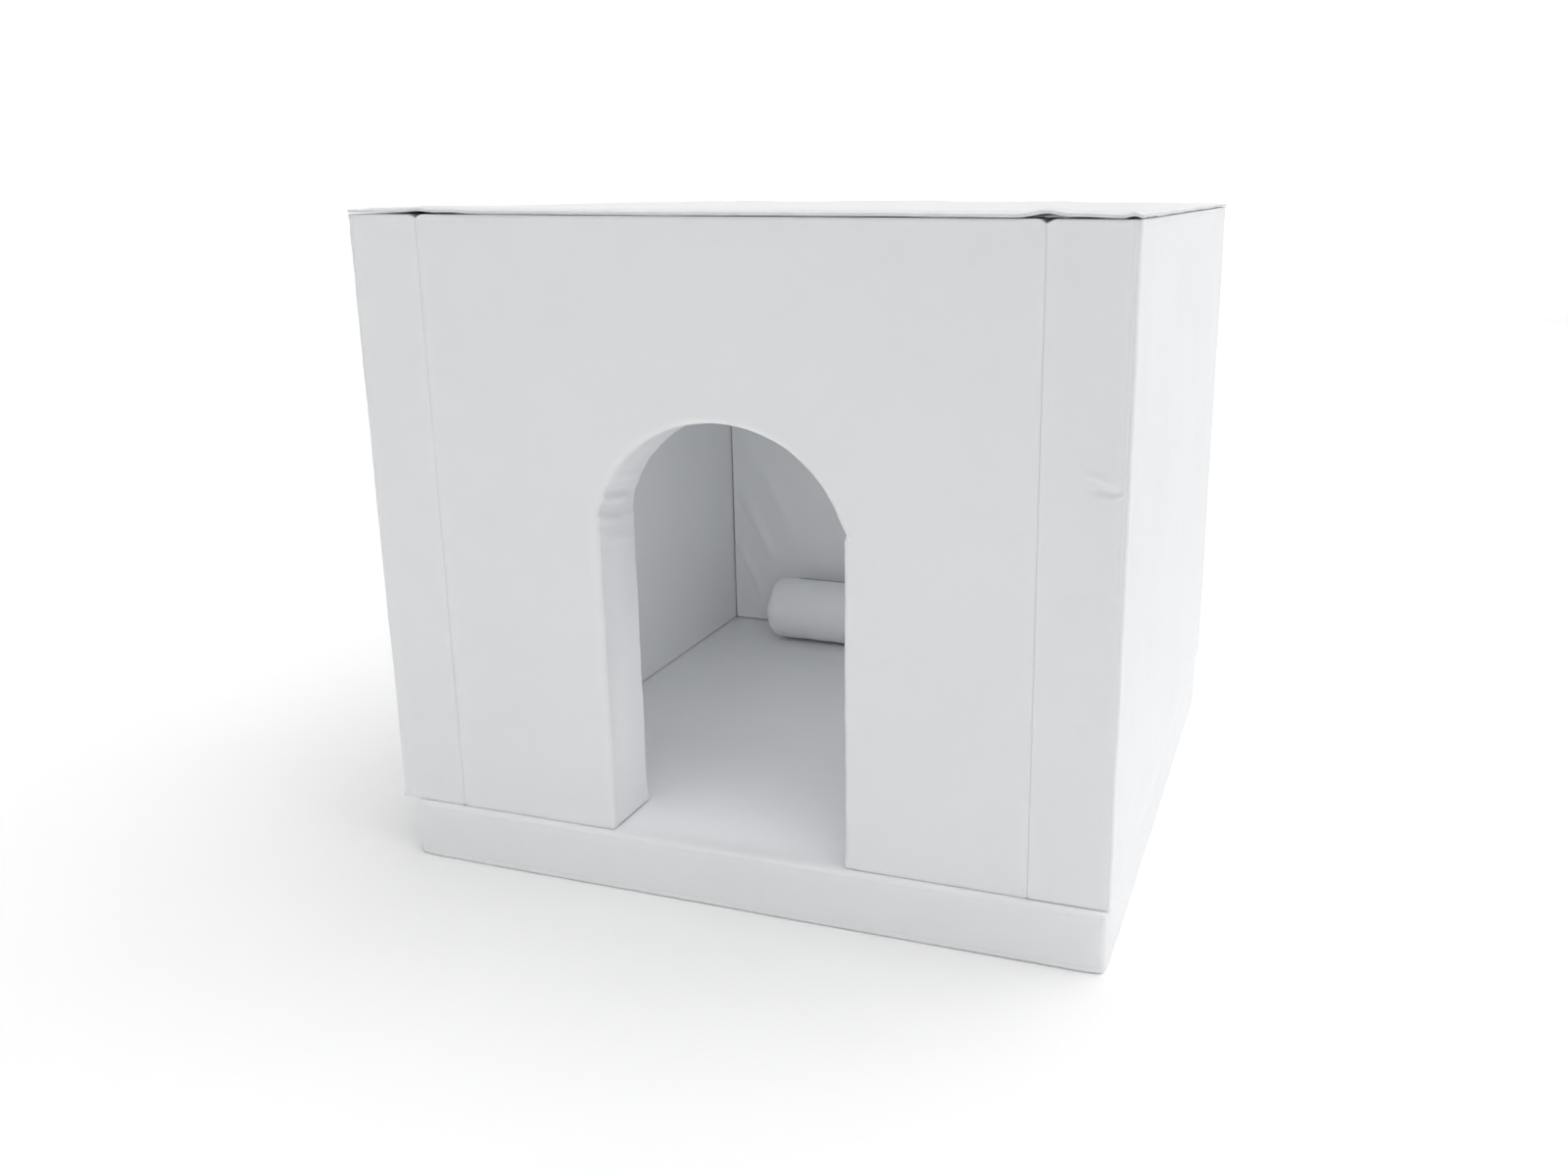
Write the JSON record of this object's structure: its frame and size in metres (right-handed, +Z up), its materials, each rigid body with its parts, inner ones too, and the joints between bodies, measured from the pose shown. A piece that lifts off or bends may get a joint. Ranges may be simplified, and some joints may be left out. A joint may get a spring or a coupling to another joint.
{
  "type": "padded play den",
  "caption": "Square padded den of vinyl-covered foam panels on a thick base, with an arched crawl-in doorway, a thin lift-off roof pad and a bolster on its floor.",
  "frame": {"origin": "centre of the whole object's box in plan, on the floor under the base", "axes": "+Z up; the doorway faces -Y and +Y points to the back wall; +X to the right as seen from the doorway's side looking in"},
  "size_m": [1.254, 1.2703, 1.112],
  "materials": {
    "white_vinyl": "satin",
    "core_foam": "matte",
    "antislip_sheet": "matte",
    "loop_strip": "matte",
    "hook_strip": "matte",
    "zip_tape": "matte",
    "zip_teeth": "satin",
    "zip_metal": "satin"
  },
  "bodies": {
    "den": {"base_foam": "core_foam", "base_cover": "white_vinyl", "base_underside": "antislip_sheet", "left_wall_foam": "core_foam", "left_wall_cover": "white_vinyl", "right_wall_foam": "core_foam", "right_wall_cover": "white_vinyl", "front_wall_foam": "core_foam", "front_wall_cover": "white_vinyl", "back_wall_foam": "core_foam", "back_wall_cover": "white_vinyl", "wall_base_loop": "loop_strip", "wall_base_hook": "hook_strip", "corner_loop": "loop_strip", "corner_hook": "hook_strip", "roof_loop": "loop_strip", "front_wall_zip": "zip_tape", "back_wall_zip": "zip_tape", "base_zip_tape": "zip_tape", "base_zip_chain": "zip_teeth", "left_zip_tape": "zip_tape", "left_zip_chain": "zip_teeth", "right_zip_tape": "zip_tape", "right_zip_chain": "zip_teeth"},
    "roof": {"roof_hook": "hook_strip", "roof_foam": "core_foam", "roof_cover": "white_vinyl"},
    "bolster": {"bolster_foam": "core_foam", "bolster_cover": "white_vinyl", "bolster_zip_tape": "zip_tape", "bolster_zip_chain": "zip_teeth"},
    "base_slider": {"base_zip_slider": "zip_metal"},
    "base_pull": {"base_zip_pull": "zip_metal"},
    "left_slider": {"left_zip_slider": "zip_metal"},
    "left_pull": {"left_zip_pull": "zip_metal"},
    "right_slider": {"right_zip_slider": "zip_metal"},
    "right_pull": {"right_zip_pull": "zip_metal"},
    "bolster_slider": {"bolster_zip_slider": "zip_metal"},
    "bolster_pull": {"bolster_zip_pull": "zip_metal"}
  },
  "joints": [
    {"name": "roof_lift", "type": "slide", "parent": "den", "child": "roof", "axis": [0, 0, 1], "range_m": [0, 0.3]},
    {"name": "bolster_move", "type": "slide", "parent": "den", "child": "bolster", "axis": [0, -1, 0], "range_m": [0, 0.815]},
    {"name": "base_zip_slide", "type": "slide", "parent": "den", "child": "base_slider", "axis": [1, 0, 0], "range_m": [0, 1.079]},
    {"name": "base_pull_flip", "type": "hinge", "parent": "base_slider", "child": "base_pull", "pos_m": [-0.5255, 0.58135, 0.05], "axis": [0, 0, -1], "range_deg": [0, 150]},
    {"name": "left_zip_slide", "type": "slide", "parent": "den", "child": "left_slider", "axis": [0, 0, 1], "range_m": [0, 0.857]},
    {"name": "left_pull_flip", "type": "hinge", "parent": "left_slider", "child": "left_pull", "pos_m": [-0.5625, 0.63335, 0.1735], "axis": [1, 0, 0], "range_deg": [0, 150]},
    {"name": "right_zip_slide", "type": "slide", "parent": "den", "child": "right_slider", "axis": [0, 0, 1], "range_m": [0, 0.857]},
    {"name": "right_pull_flip", "type": "hinge", "parent": "right_slider", "child": "right_pull", "pos_m": [0.5625, 0.63335, 0.1735], "axis": [1, 0, 0], "range_deg": [0, 150]},
    {"name": "bolster_zip_slide", "type": "slide", "parent": "bolster", "child": "bolster_slider", "axis": [1, 0, 0], "range_m": [0, 0.557]},
    {"name": "bolster_pull_flip", "type": "hinge", "parent": "bolster_slider", "child": "bolster_pull", "pos_m": [-0.2785, 0.45948, 0.23293], "axis": [0, 0.7071, -0.7071], "range_deg": [0, 150]}
  ]
}
